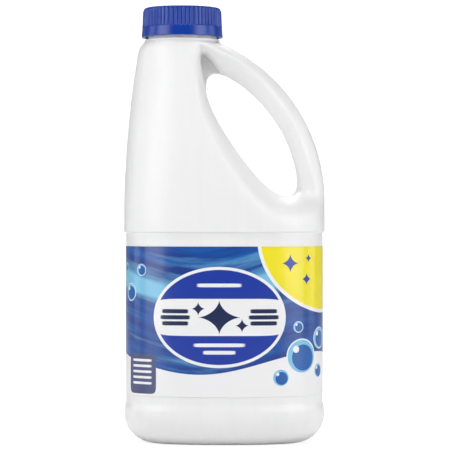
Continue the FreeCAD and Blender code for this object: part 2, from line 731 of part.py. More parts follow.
def check_and_export(pieces):
    """Write each piece's solid to its own file once every object is sound."""
    doc.recompute()
    for obj in doc.Objects:
        if "Invalid" in obj.State or "Error" in obj.State:
            raise RuntimeError(f"{obj.Name} failed: {obj.State}")
    for piece in pieces:
        if piece.Shape.isNull() or not piece.Shape.isValid() or len(piece.Shape.Solids) != 1:
            raise RuntimeError(f"{piece.Label} is not one sound solid")
    os.makedirs("parts", exist_ok=True)
    for piece in pieces:
        piece.Shape.exportStep(os.path.join("parts", f"{piece.Label}.step"))
        print(f"{piece.Label}: {piece.Shape.Volume / 1000.0:.2f} ml of material")


check_and_export([make_bottle(), make_label(), make_liner(), make_cap()])
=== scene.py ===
"""Studio scene of a white jug bottle with a hollow handle, a wrap label and a ribbed screw cap.

Lengths are millimetres in the classes below and become metres when a mesh is made.
"""

import logging
import math
from dataclasses import dataclass
from enum import Enum
from typing import Sequence

import bmesh
import bpy
import numpy as np
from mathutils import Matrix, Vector


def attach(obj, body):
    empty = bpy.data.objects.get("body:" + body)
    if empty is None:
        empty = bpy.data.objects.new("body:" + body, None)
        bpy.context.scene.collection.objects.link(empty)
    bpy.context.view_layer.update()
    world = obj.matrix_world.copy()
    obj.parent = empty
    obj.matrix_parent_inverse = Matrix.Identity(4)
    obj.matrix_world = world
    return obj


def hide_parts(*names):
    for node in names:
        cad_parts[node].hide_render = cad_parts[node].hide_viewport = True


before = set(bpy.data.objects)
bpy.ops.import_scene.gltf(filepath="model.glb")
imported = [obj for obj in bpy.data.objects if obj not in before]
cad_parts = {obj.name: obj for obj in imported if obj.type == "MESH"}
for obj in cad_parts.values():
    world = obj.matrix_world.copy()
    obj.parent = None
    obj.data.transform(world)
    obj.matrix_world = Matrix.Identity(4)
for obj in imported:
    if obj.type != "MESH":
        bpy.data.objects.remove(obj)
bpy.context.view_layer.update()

Array = np.ndarray
Value = np.ndarray | float
Pair = tuple[float, float]
Piece = bpy.types.Object
Material = bpy.types.Material
Tree = bpy.types.NodeTree
Socket = bpy.types.NodeSocket

MM = 0.001
MERGE_MM = 0.001
WHITE = (1.0, 1.0, 1.0, 1.0)
log = logging.getLogger("jug")


def mix(first: Value, second: Value, share: Value) -> Value:
    """Return the value a share of the way from the first to the second."""
    return first + (second - first) * share


def ease(share: Array) -> Array:
    """Return 3 s squared minus 2 s cubed for a share s held between 0 and 1."""
    held = np.clip(share, 0.0, 1.0)
    return held * held * (3.0 - 2.0 * held)


def soft_min(first: Array, second: Array, blend: Array) -> Array:
    """Return the smaller depth, less a cubic of how near the two are, which rounds the corner."""
    near = np.maximum(blend - np.abs(first - second), 0.0) / blend
    return np.minimum(first, second) - near**3 * blend / 6.0


def stacked(*parts: Value) -> Array:
    """Return coordinates broadcast to one shape and stacked on a last axis."""
    return np.stack(np.broadcast_arrays(*parts), -1)


def new_object(name: str, data: bpy.types.ID) -> Piece:
    """Return a new object of the scene that holds some data."""
    obj = bpy.data.objects.new(name, data)
    bpy.context.scene.collection.objects.link(obj)
    return obj


def grid_mesh(name: str, points: Array, closed_u: bool = False, closed_v: bool = False,
              uv: Array | None = None) -> Piece:
    """Make a smooth mesh object from a grid of points.

    Args:
        name: Name of the piece.
        points: Positions in millimetres, shaped columns by rows by 3.
        closed_u: Whether the last column joins the first.
        closed_v: Whether the last row joins the first.
        uv: Coordinates shaped columns by rows by 2, or None.

    Returns:
        The object, at the origin.
    """
    columns, rows = points.shape[:2]
    u = np.arange(columns if closed_u else columns - 1)
    v = np.arange(rows if closed_v else rows - 1)
    a, b = np.meshgrid(u, v, indexing="ij")
    a2, b2 = (a + 1) % columns, (b + 1) % rows
    corners = (a * rows + b, a2 * rows + b, a2 * rows + b2, a * rows + b2)
    faces = stacked(*corners).reshape(-1, 4)
    mesh = bpy.data.meshes.new(name)
    mesh.from_pydata((points.reshape(-1, 3) * MM).tolist(), [], faces.tolist())
    if uv is not None:
        layer = mesh.uv_layers.new(name="UVMap")
        values = uv.reshape(-1, 2)[faces.reshape(-1)].astype(np.float32)
        layer.data.foreach_set("uv", values.reshape(-1))
    mesh.validate()
    mesh.shade_smooth()
    return new_object(name, mesh)


def tidy_mesh(obj: Piece, merge: float = 0.0) -> Piece:
    """Merge points nearer than a distance in millimetres and turn all faces outwards."""
    work = bmesh.new()
    work.from_mesh(obj.data)
    if merge > 0.0:
        bmesh.ops.remove_doubles(work, verts=work.verts, dist=merge * MM)
    bmesh.ops.recalc_face_normals(work, faces=work.faces)
    work.to_mesh(obj.data)
    work.free()
    return obj


def cut_level(obj: Piece, height: float, keep_above: bool) -> None:
    """Cut a mesh at a height in millimetres and keep the side above it, or else the one below."""
    work = bmesh.new()
    work.from_mesh(obj.data)
    geometry = work.verts[:] + work.edges[:] + work.faces[:]
    bmesh.ops.bisect_plane(work, geom=geometry, plane_co=(0.0, 0.0, height * MM),
                           plane_no=(0.0, 0.0, 1.0), clear_inner=keep_above,
                           clear_outer=not keep_above)
    work.to_mesh(obj.data)
    work.free()


def join(name: str, parts: Sequence[Piece]) -> Piece:
    """Join mesh objects into the first one and name it."""
    with bpy.context.temp_override(active_object=parts[0], selected_editable_objects=list(parts)):
        bpy.ops.object.join()
    parts[0].name = name
    parts[0].data.name = name
    return parts[0]


def rounded_path(corners: Sequence[tuple[float, float, float]], steps: int = 6,
                 spacing: float = 2.0) -> Array:
    """Return a profile through corners, each rounded by its own radius.

    A rounded corner is a quadratic arc between points one radius before and after it, and straight
    stretches are divided evenly.

    Args:
        corners: Radius, height and rounding of each corner.
        steps: Steps over a rounded corner.
        spacing: Largest step along a straight stretch.

    Returns:
        Points shaped rows by 2.
    """
    points: list[Array] = []
    last = len(corners) - 1
    for index, (x, z, rounding) in enumerate(corners):
        here = np.array([x, z])
        if rounding <= 0.0 or index in (0, last):
            stretch = [here]
        else:
            before = np.array(corners[index - 1][:2]) - here
            after = np.array(corners[index + 1][:2]) - here
            start = here + before / np.linalg.norm(before) * rounding
            end = here + after / np.linalg.norm(after) * rounding
            share = np.linspace(0.0, 1.0, steps)[:, None]
            rest = 1.0 - share
            stretch = list(rest**2 * start + 2.0 * share * rest * here + share**2 * end)
        if points:
            count = int(np.linalg.norm(stretch[0] - points[-1]) // spacing)
            points.extend(np.linspace(points[-1], stretch[0], count + 2)[1:-1])
        points.extend(stretch)
    return np.array(points)


@dataclass
class JugForm:
    """Sizes of the moulded bottle in millimetres, as in its solid model."""

    body_width: float = 122.2
    body_depth: float = 77.0
    body_power: float = 2.5
    heel_radius: float = 18.0
    standing_ring: float = 3.0
    push_up: float = 4.5
    base_inset: float = 0.3
    panel_inset: float = 1.3
    panel_bottom: float = 25.6
    panel_top: float = 127.5
    panel_run: float = 5.2
    bead_rounding: float = 0.8
    shoulder: float = 134.0
    collar: float = 242.6
    collar_radius: float = 23.0
    collar_thickness: float = 2.0
    collar_step: float = 0.3
    collar_sink: float = 0.4
    neck_x: float = -25.7
    neck_radius: float = 20.8
    neck_height: float = 18.6
    bore_radius: float = 18.6
    bend: float = 7.0
    bend_share: float = 0.78
    over_collar: float = 24.0
    under_panel: float = 36.0
    high_close: float = 16.0
    low_close: float = 20.0
    round_from: float = 0.15
    handle_root: float = 146.9
    handle_envelope: float = 20.0
    handle_fade: float = 20.0
    slim_end: float = 0.6
    side_fade: float = 30.0
    handle_half_depth: float = 12.5
    handle_round: float = 8.0
    hole_x: float = 17.4
    hole_z: float = 187.4
    hole_long: float = 43.8
    hole_short: float = 14.7
    hole_lean: float = 34.5
    hole_skew: float = 0.8
    web_rise: float = 12.0
    web_lean: float = 5.3
    web_column_spread: float = 0.42
    web_handle_spread: float = 0.24
    web_half: float = 0.9
    crest_top: float = 4.0
    crest_foot: float = 12.0
    crest_from: float = 0.5
    crest_limit: float = 0.6
    crest_rise: float = 0.8
    crest_softness: float = 9.0
    top_softness: float = 4.5
    handle_softness: float = 5.0
    handle_share: tuple[Pair, ...] = ((0.05, 0.75), (-0.2, 0.8))
    flank_turn: float = 0.608
    flank_height: float = 0.92
    flank_run: float = 2.35
    hole_crowding: float = 0.3
    corner_crowding: float = 0.06
    thread_pitch: float = 4.23
    thread_depth: float = 1.2
    thread_start: float = 6.4
    thread_turns: float = 1.5
    thread_root: float = 2.5
    thread_crest: float = 0.9

    def __post_init__(self) -> None:
        """Work out the values that follow from the sizes."""
        self.half_width = self.body_width / 2.0
        self.half_depth = self.body_depth / 2.0
        self.top_radius = self.collar_radius + self.collar_step
        self.lean = math.radians(self.hole_lean)
        self.ring_top = self.collar + self.over_collar
        self.ring_bottom = self.panel_top - self.under_panel
        reach = self.half_width - (self.neck_x + self.top_radius)
        climb = self.collar - self.handle_root
        self.arc_radius = (reach**2 + climb**2) / (2.0 * reach)
        self.arc_x = self.half_width - self.arc_radius
        self.bend_tall = self.bend_share * self.bend
        self.bend_depth = self.bend - math.sqrt(self.bend**2 - self.bend_tall**2)

    def turned(self, radius: Array, angle: Array, height: Array) -> Array:
        """Return points at a radius and an angle round the neck's axis and at a height."""
        return stacked(self.neck_x + radius * np.cos(angle), radius * np.sin(angle), height)

    def climbed(self, z: Array) -> Array:
        """Return the share of the way from the shoulder to the collar."""
        return np.clip((z - self.shoulder) / (self.collar - self.shoulder), 0.0, 1.0)

    def left(self, z: Array) -> Array:
        """Return the left edge: an easy parabola that rounds over under the collar."""
        lean = self.half_width + self.neck_x - self.top_radius - self.bend_depth
        above = np.clip(z - self.collar + self.bend_tall, 0.0, self.bend_tall)
        rounding = self.bend - np.sqrt(self.bend**2 - above**2)
        return -self.half_width + lean * self.climbed(z) ** 2 + rounding

    def right(self, z: Array) -> Array:
        """Return the right edge: upright, then the handle's outer arc."""
        above = np.maximum(0.0, np.minimum(z, self.collar) - self.handle_root)
        return self.arc_x + np.sqrt(self.arc_radius**2 - above**2)

    def envelope(self, x: Array, z: Array) -> Array:
        """Return the half depth of the outer form: a superellipse at each height, 0 outside it."""
        left, right = self.left(z), self.right(z)
        across = np.minimum(np.abs(x - (left + right) / 2.0) / ((right - left) / 2.0), 1.0)
        climbed = self.climbed(z)
        column = mix(self.half_depth, self.top_radius, climbed**2)
        widening = ease((climbed - self.slim_end) / (1.0 - self.slim_end))
        slim = mix(self.handle_envelope, self.top_radius, widening)
        handle = mix(column, slim, ease((z - self.shoulder) / self.handle_fade))
        axis = self.hole_x - (z - self.hole_z) * math.tan(self.lean)
        depth = mix(column, handle, ease((x - axis) / self.side_fade + 0.5))
        rounding = ease((climbed - self.round_from) / (1.0 - self.round_from))
        power = mix(self.body_power, 2.0, rounding)
        high = np.clip((z - self.ring_top) / self.high_close + 1.0, 0.0, 1.0)
        low = np.clip((self.ring_bottom - z) / self.low_close + 1.0, 0.0, 1.0)
        closing = np.sqrt(1.0 - high**2) * np.sqrt(1.0 - low**2)
        return closing * depth * (1.0 - across**power) ** (1.0 / power)

    def inside(self, x: Array, z: Array) -> Array:
        """Return where points of the parting plane lie in the outer form."""
        level = (z > self.ring_bottom) & (z < self.ring_top)
        return level & (x > self.left(z)) & (x < self.right(z))

    def hole_edge(self, angle: Array) -> tuple[Array, Array]:
        """Return points of the finger hole's edge and their outward directions.

        The edge is an ellipse that swells in and out three times round by a small sine.
        """
        along = np.array([-math.sin(self.lean), math.cos(self.lean)])
        aside = np.array([math.cos(self.lean), math.sin(self.lean)])
        centre = np.array([self.hole_x, self.hole_z])
        cos, sin = np.cos(angle)[:, None], np.sin(angle)[:, None]
        points = centre + along * self.hole_long * cos + aside * self.hole_short * sin
        outward = along * cos / self.hole_long + aside * sin / self.hole_short
        outward = outward / np.linalg.norm(outward, axis=1, keepdims=True)
        swell = -self.hole_skew * np.sin(3.0 * angle)[:, None]
        return points + outward * swell, outward

    def pinch_edge(self, angle: Array) -> Array:
        """Return the pinched edge: the hole's edge, drawn out to the web's tip by a bell curve."""
        points, _ = self.hole_edge(angle)
        spread = np.where(angle < 0.0, self.web_column_spread, self.web_handle_spread)
        pull = np.exp(-((angle / spread) ** 2))[:, None]
        return points + pull * np.array([-self.web_lean, self.web_rise])

    def outer_edge(self, angle: Array, step: float = 2.0, reach: float = 260.0,
                   halvings: int = 40) -> Array:
        """Return where lines square to the hole's edge leave the form, by repeated halving."""
        start, outward = self.hole_edge(angle)
        runs = np.arange(step, reach, step)
        line = start[:, None, :] + outward[:, None, :] * runs[None, :, None]
        out = ~self.inside(line[..., 0], line[..., 1])
        near = runs[np.argmax(out, axis=1)] - step
        far = near + step
        for _ in range(halvings):
            middle = (near + far) / 2.0
            point = start + outward * middle[:, None]
            held = self.inside(point[:, 0], point[:, 1])
            near, far = np.where(held, middle, near), np.where(held, far, middle)
        return start + outward * near[:, None]

    def flank(self, run: Array, depth: Array, round_back: Array) -> Array:
        """Return the flank's depth: an elliptic rise that goes on as a straight slope."""
        share = run / round_back
        rise = np.sqrt(np.maximum(0.0, 1.0 - (1.0 - np.minimum(share, 1.0)) ** 2))
        slope = self.flank_height + (share - self.flank_turn) / self.flank_run
        return depth * np.where(share < self.flank_turn, rise, slope)

    def ring(self, columns: int, crest_rows: int, flank_rows: int,
             samples: int = 1200) -> Array:
        """Return the closed grid around the finger hole and over the front and the back.

        On each line from the pinched edge to the outer edge the depth is the soft minimum of the
        outer form and of the flank. The points are spaced evenly by length on both sides of the
        crest, where the two meet.

        Args:
            columns: Steps around the hole.
            crest_rows: Steps from the hole's edge to the crest.
            flank_rows: Steps from the crest to the outer edge.
            samples: Steps along a line while its length is measured.

        Returns:
            Positions shaped columns by twice the rows by 3.
        """
        turn = np.linspace(-np.pi, np.pi, columns, endpoint=False)
        angle = turn - self.hole_crowding * np.sin(2.0 * turn)
        start, end = self.pinch_edge(angle), self.outer_edge(angle)
        _, outward = self.hole_edge(angle)
        span = end - start
        length = np.linalg.norm(span, axis=1)
        across = span / length[:, None]
        square = np.sum(across * outward, axis=1)
        past = (np.abs(angle) - self.crest_from) / (np.pi - self.crest_from)
        grown = np.sin(np.clip(past, 0.0, 1.0) * np.pi / 2.0)
        crest = mix(self.crest_top, self.crest_foot, grown)
        softness = mix(self.top_softness, self.crest_softness, grown)
        side = np.sin(angle)
        low, high = (ease((side - begin) / span) for begin, span in self.handle_share)
        share = np.where(np.cos(angle) < 0.0, low, high)
        reach = start + across * np.minimum(crest, self.crest_limit * length)[:, None]
        depth = mix(self.envelope(reach[:, 0], reach[:, 1]), self.handle_half_depth, share)
        round_back = mix(crest / self.crest_rise, self.handle_round, share)
        blend = mix(softness, self.handle_softness, share)

        steps = (1.0 - np.cos(np.pi * np.arange(samples + 1) / samples)) / 2.0
        run = length[:, None] * steps
        x = start[:, :1] + across[:, :1] * run
        z = start[:, 1:] + across[:, 1:] * run
        outer = self.envelope(x, z)
        rise = self.flank(run * square[:, None], depth[:, None], round_back[:, None])
        y = np.maximum(soft_min(rise, outer, blend[:, None]), 0.0)
        y[:, 0] = 0.0
        y[:, -1] = 0.0
        line = stacked(x, y, z)
        pieces = np.linalg.norm(np.diff(line, axis=1), axis=2)
        lengths = np.concatenate([np.zeros((columns, 1)), np.cumsum(pieces, axis=1)], axis=1)
        crest_at = lengths[np.arange(columns), np.argmax(rise >= outer, axis=1)]
        before = crest_at[:, None] * np.arange(crest_rows) / crest_rows
        rest = (lengths[:, -1] - crest_at)[:, None]
        after = crest_at[:, None] + rest * np.arange(flank_rows + 1) / flank_rows
        wanted = np.concatenate([before, after], axis=1)
        offset = np.arange(columns)[:, None] * 1.0e4
        flat = (lengths + offset).ravel()
        front = stacked(*(np.interp(wanted + offset, flat, line[..., axis].ravel())
                          for axis in range(3)))
        back = front[:, -2:0:-1] * np.array([1.0, -1.0, 1.0])
        return np.concatenate([front, back], axis=1)

    def around(self, inset: Value, turn: Array,
               start: float = 0.0) -> tuple[Array, Array]:
        """Return X and Y of the body's superellipse, drawn in by an inset from the bead.

        The angles are crowded towards the corners and then counted from a starting angle.
        """
        angle = turn - self.corner_crowding * np.sin(4.0 * turn) + start
        power = 2.0 / self.body_power
        cos, sin = np.cos(angle), np.sin(angle)
        wide = np.maximum(self.half_width - inset, 0.0)
        deep = np.maximum(self.half_depth - inset, 0.0)
        return (wide * np.sign(cos) * np.abs(cos) ** power,
                deep * np.sign(sin) * np.abs(sin) ** power)


@dataclass
class MouldedBottle:
    """The one blow-moulded shell: body, handle, web, collar and threaded neck."""

    form: JugForm
    columns: int = 320
    crest_rows: int = 30
    flank_rows: int = 52
    outline_columns: int = 300
    bead_rows: int = 9
    ledge_drops: tuple[float, ...] = (0.0, 0.05, 1.0)
    panel_margins: Pair = (3.0, 0.5)
    panel_rows: int = 30
    step_rows: int = 12
    heel_rows: int = 28
    recess_rows: int = 14
    crown_rows: int = 10
    web_turn: float = 0.98
    web_columns: int = 90
    web_rows: int = 26
    web_buried: float = 0.8
    rim_swell: float = 0.45
    rim_run: float = 0.9
    rim_width: float = 0.7
    neck_columns: int = 160
    thread_steps: int = 96
    thread_fade: float = 0.06
    thread_sunk: float = 0.1

    def upper(self) -> Piece:
        """Return the shoulder, column and handle, cut level at the bead and under the collar."""
        grid = self.form.ring(self.columns, self.crest_rows, self.flank_rows)
        obj = tidy_mesh(grid_mesh("upper", grid, True, True))
        cut_level(obj, self.form.panel_top + self.form.bead_rounding, True)
        cut_level(obj, self.form.collar + self.form.collar_sink, False)
        return obj

    def lower(self) -> Piece:
        """Return the bead's edge, label panel, base swell, heel and recessed base.

        The rows follow one profile of inset against height: quarter circles at the bead's edge and
        the heel, S-curves at the panel's step and the recess, and straight stretches between.
        """
        form = self.form
        quarter = np.linspace(0.0, np.pi / 2.0, self.bead_rows)
        bead = stacked(form.bead_rounding * (1.0 - np.cos(quarter)),
                       form.panel_top + form.bead_rounding * (1.0 - np.sin(quarter)))
        ledge = stacked(form.panel_inset, form.panel_top - np.array(self.ledge_drops))
        high, low = self.panel_margins
        panel = stacked(form.panel_inset, np.linspace(form.panel_top - high,
                                                      form.panel_bottom + low, self.panel_rows))
        step = np.linspace(1.0, 0.0, self.step_rows)
        easy = stacked(mix(form.base_inset, form.panel_inset, ease(step)),
                       form.panel_bottom - form.panel_run * (1.0 - step))
        turn = np.linspace(np.pi / 2.0, 0.0, self.heel_rows)
        heel = stacked(form.base_inset + form.heel_radius * (1.0 - np.sin(turn)),
                       form.heel_radius * (1.0 - np.cos(turn)))
        ring = form.base_inset + form.heel_radius + form.standing_ring
        climb = np.linspace(0.0, np.pi / 2.0, self.recess_rows)
        recess = stacked(ring + 2.0 * form.push_up * (1.0 - np.cos(climb)),
                         form.push_up * np.sin(climb))
        inner = np.linspace(recess[-1, 0], form.half_depth, self.crown_rows)[1:]
        crown = stacked(inner, form.push_up)
        inset, height = np.concatenate([bead, ledge, panel, easy, heel, recess, crown]).T
        turn = np.linspace(0.0, 2.0 * np.pi, self.outline_columns, endpoint=False)[:, None]
        grid = stacked(*form.around(inset, turn), height)
        return tidy_mesh(grid_mesh("lower", grid, True), MERGE_MM)

    def web(self) -> Piece:
        """Return the pinched web as a thin plate whose free edge is a rounded rim at the hole."""
        form = self.form
        angle = np.linspace(-self.web_turn, self.web_turn, self.web_columns)
        outer = form.pinch_edge(angle)
        inner, outward = form.hole_edge(angle)
        buried = outer + outward * self.web_buried
        share = np.linspace(0.0, 1.0, self.web_rows)
        flat = mix(inner[:, None, :], buried[:, None, :], share[None, :, None])
        run = np.linalg.norm(flat - inner[:, None, :], axis=2)
        apart = (run - self.rim_run) / self.rim_width
        rim = form.web_half + self.rim_swell * np.exp(-apart**2)
        rise = np.clip(run / self.rim_run, 0.0, 1.0)
        half = rim * np.sqrt(1.0 - (1.0 - rise) ** 2)
        front = stacked(flat[..., 0], -half, flat[..., 1])
        back = stacked(flat[..., 0], half, flat[..., 1])
        grid = np.concatenate([front[:, ::-1], back[:, 1:]], axis=1)
        return tidy_mesh(grid_mesh("web", grid))

    def neck(self) -> Piece:
        """Return the collar and neck, turned from one profile down into the bore."""
        form = self.form
        top = form.neck_height
        profile = rounded_path([
            (form.top_radius, -1.0, 0.0),
            (form.top_radius, form.collar_sink, 0.3),
            (form.collar_radius, form.collar_sink, 0.2),
            (form.collar_radius, form.collar_thickness, 0.5),
            (form.neck_radius, form.collar_thickness, 0.5),
            (form.neck_radius, top, 0.6),
            (form.bore_radius, top, 0.4),
            (form.bore_radius, -6.0, 0.0),
        ])
        radius, height = profile.T
        angle = np.linspace(0.0, 2.0 * np.pi, self.neck_columns, endpoint=False)[:, None]
        grid = form.turned(radius, angle, form.collar + height)
        return tidy_mesh(grid_mesh("neck", grid, True))

    def thread(self) -> Piece:
        """Return the neck's thread: a trapezium carried along a helix and faded at both ends."""
        form = self.form
        steps = int(self.thread_steps * form.thread_turns)
        turns = np.linspace(0.0, form.thread_turns, steps)[:, None]
        angle = turns * 2.0 * np.pi
        proud = form.thread_depth * ease(np.minimum(turns, form.thread_turns - turns)
                                         / self.thread_fade)
        root, crest = form.thread_root / 2.0, form.thread_crest / 2.0
        offsets = np.array([-root, -crest, crest, root])
        lift = np.array([0.0, 1.0, 1.0, 0.0])
        radius = form.neck_radius - self.thread_sunk + (proud + self.thread_sunk) * lift
        height = form.collar + form.thread_start + form.thread_pitch * turns + offsets
        return tidy_mesh(grid_mesh("thread", form.turned(radius, angle, height)))

    def build(self) -> Piece:
        """Build the whole shell, put it in place of its node and return it."""
        parts = [self.upper(), self.lower(), self.web(), self.neck(), self.thread()]
        shell = join("moulded_bottle", parts)
        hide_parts("bottle")
        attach(shell, "bottle")
        return shell


@dataclass
class ScrewCap:
    """The ribbed screw cap."""

    form: JugForm
    top_radius: float = 23.8
    band_radius: float = 24.3
    rim_radius: float = 24.8
    band: float = 5.9
    wall: float = 1.5
    rounding: float = 1.2
    gap: float = 1.5
    rib_count: int = 62
    rib_radius: float = 0.62
    rib_proud: float = 0.5
    rib_columns: int = 12
    rib_top: float = 1.0
    rib_fade: float = 0.8
    rib_sunk: float = 0.1
    rib_foot: float = 0.5
    thread_play: float = 0.2
    spacing: float = 0.9
    liner: float = 1.1
    liner_play: float = 0.1

    def __post_init__(self) -> None:
        """Work out the cap's height and the height of its rim."""
        form = self.form
        self.rim_z = form.collar + form.collar_thickness + self.gap
        self.height = (form.neck_height - form.collar_thickness - self.gap + self.liner
                       + self.liner_play + self.wall)

    def skirt(self) -> Piece:
        """Return the cap's skin with its ribs.

        The wall's radius falls evenly from the band to the top. Around it, a rib adds the height of
        a circle over the wall, repeated by the angle, and fades out at its two ends.
        """
        height = self.height
        angle = np.linspace(0.0, 2.0 * np.pi, self.rib_count * self.rib_columns, endpoint=False)
        inner = self.form.neck_radius + self.form.thread_depth + self.thread_play
        profile = rounded_path([
            (0.0, height, 0.0),
            (self.top_radius - self.rib_proud, height, self.rounding),
            (self.band_radius - self.rib_proud, self.band + 0.55, 0.25),
            (self.band_radius, self.band, 0.3),
            (self.rim_radius, 0.0, 0.35),
            (inner + 0.6, 0.0, 0.3),
            (inner, 2.0, 0.3),
            (inner, height - self.wall, 0.4),
            (0.0, height - self.wall, 0.0),
        ], spacing=self.spacing)
        radius, level = profile.T
        row = np.arange(level.size)
        outside = (row > np.argmax(radius > self.top_radius / 2.0)) & (row < np.argmin(level))
        pitch = 2.0 * np.pi / self.rib_count
        across = (np.mod(angle + pitch / 2.0, pitch) - pitch / 2.0)[:, None] * self.top_radius
        reach = self.rib_radius - self.rib_proud
        rib = np.sqrt(np.maximum(self.rib_radius**2 - across**2, 0.0)) - reach
        upper = ease((height - self.rib_top - level) / self.rib_fade)
        lower = ease((level - self.band + self.rib_sunk) / self.rib_foot)
        full = radius + np.maximum(rib, 0.0) * upper * lower * outside
        points = self.form.turned(full, angle[:, None], self.rim_z + level)
        return tidy_mesh(grid_mesh("screw_cap", points, True), MERGE_MM)

    def build(self) -> Piece:
        """Build the cap, put it in place of its node and return it."""
        cap = self.skirt()
        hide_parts("cap")
        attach(cap, "cap")
        return cap


@dataclass
class WrapLabel:
    """The printed film wrapped round the panel, with its lap at the back."""

    form: JugForm
    bottom: float = 29.7
    height: float = 89.5
    clearance: float = 0.08
    thickness: float = 0.12
    lap: float = 9.0
    lap_rise: float = 1.2
    lap_columns: int = 10
    columns: int = 420
    hem: float = 0.3
    rows: int = 40

    def build(self) -> Piece:
        """Build the film, put it in place of its node and return it.

        The film follows the panel's outline a little outside it. Its UV map holds real lengths:
        u runs along the film from the middle of the front, v up from its lower edge, both in
        millimetres. The lap is a second layer over the film's end at the back.
        """
        form = self.form
        inset = form.panel_inset - self.clearance
        x, y = form.around(inset, np.linspace(0.0, 2.0 * np.pi, self.columns + 1), np.pi / 2.0)
        run = np.concatenate([[0.0], np.cumsum(np.hypot(np.diff(x), np.diff(y)))])
        length = run[-1]
        lap = np.linspace(0.0, self.lap, self.lap_columns)
        wanted = np.concatenate([run, length + lap[1:]])
        lift = self.thickness * ease((wanted - length) / self.lap_rise + 1.0)
        on = np.mod(wanted, length)
        x, y = np.interp(on, run, x), np.interp(on, run, y)
        out = stacked(x / (form.half_width - inset), y / (form.half_depth - inset))
        out = np.sign(out) * np.abs(out) ** (form.body_power - 1.0)
        out = out / np.linalg.norm(out, axis=1, keepdims=True)
        x, y = x + out[:, 0] * lift, y + out[:, 1] * lift
        rows = np.linspace(self.hem, self.height - self.hem, self.rows)
        rows = np.concatenate([[0.0], rows, [self.height]])
        points = stacked(x[:, None], y[:, None], self.bottom + rows)
        uv = stacked(wanted[:, None] - length / 2.0, rows)
        obj = grid_mesh("wrap_label", points, uv=uv)
        solid = obj.modifiers.new("Film", "SOLIDIFY")
        solid.thickness = self.thickness * MM
        solid.offset = 1.0
        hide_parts("label")
        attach(obj, "bottle")
        return obj


def linear(code: str) -> tuple[float, ...]:
    """Return the linear red, green and blue of an sRGB hex code, and an alpha of 1."""
    parts = np.array([int(code[i:i + 2], 16) for i in (1, 3, 5)]) / 255.0
    curve = np.where(parts <= 0.04045, parts / 12.92, ((parts + 0.055) / 1.055) ** 2.4)
    return (*map(float, curve), 1.0)


def add(tree: Tree, kind: str, inputs: dict | None = None,
        **settings: str | bool) -> bpy.types.Node:
    """Add a node with its settings, values and links.

    Args:
        tree: Node tree to add to.
        kind: Node type, less its prefix ShaderNode.
        inputs: Input name or number with a value or a socket to link.
        **settings: Properties of the node.

    Returns:
        The new node.
    """
    node = tree.nodes.new("ShaderNode" + kind)
    for name, value in settings.items():
        setattr(node, name, value)
    for name, value in (inputs or {}).items():
        if isinstance(value, Socket):
            tree.links.new(value, node.inputs[name])
        else:
            node.inputs[name].default_value = value
    return node


def math_node(tree: Tree, operation: str, *values: Socket | float,
              clamp: bool = False) -> Socket:
    """Add a math node for an operation on sockets or numbers and return its result."""
    node = add(tree, "Math", dict(enumerate(values)), operation=operation, use_clamp=clamp)
    return node.outputs[0]


def two_tone(tree: Tree, share: Socket, first: Socket | tuple,
             second: Socket | tuple) -> Socket:
    """Add a mix of two colours by a share and return its colour."""
    return add(tree, "Mix", {0: share, 6: first, 7: second}, data_type="RGBA").outputs[2]


def noise(tree: Tree, place: Socket, size_mm: float, detail: float,
          **inputs: float) -> Socket:
    """Add a noise with features of a size in millimetres and return its strength."""
    return add(tree, "TexNoise", {"Vector": place, "Scale": 1.0 / MM / size_mm,
                                  "Detail": detail, **inputs}).outputs["Fac"]


def bump(tree: Tree, height: Socket, strength: float, distance_mm: float,
         **inputs: Socket) -> Socket:
    """Add a bump of a height, over a Normal where one is given, and return the new normal."""
    return add(tree, "Bump", {"Strength": strength, "Distance": distance_mm * MM,
                              "Height": height, **inputs}).outputs[0]


def blank_material(name: str) -> tuple[Material, Tree, Socket]:
    """Return a new material, its node tree, and the place on the object in metres."""
    material = bpy.data.materials.new(name)
    material.use_nodes = True
    tree = material.node_tree
    tree.nodes.clear()
    return material, tree, add(tree, "TexCoord").outputs["Object"]


def wear(obj: Piece, material: Material) -> None:
    """Give every face of a piece one material."""
    if obj.material_slots:
        for slot in obj.material_slots:
            slot.material = material
    else:
        obj.data.materials.append(material)


@dataclass(frozen=True)
class Finish:
    """What every plastic here has: the roughness and the index of refraction of its surface.

    The bumps of a finish are pairs of a strength and a distance in millimetres.
    """

    roughness: float
    ior: float

    def surface(self, tree: Tree, colour: Socket, normal: Socket,
                inputs: dict | None = None) -> None:
        """Add the surface with its colour, normal and further inputs, and link it."""
        shader = add(tree, "BsdfPrincipled", {
            "Base Color": colour, "Roughness": self.roughness, "IOR": self.ior,
            "Normal": normal, **(inputs or {})})
        add(tree, "OutputMaterial", {"Surface": shader.outputs[0]})


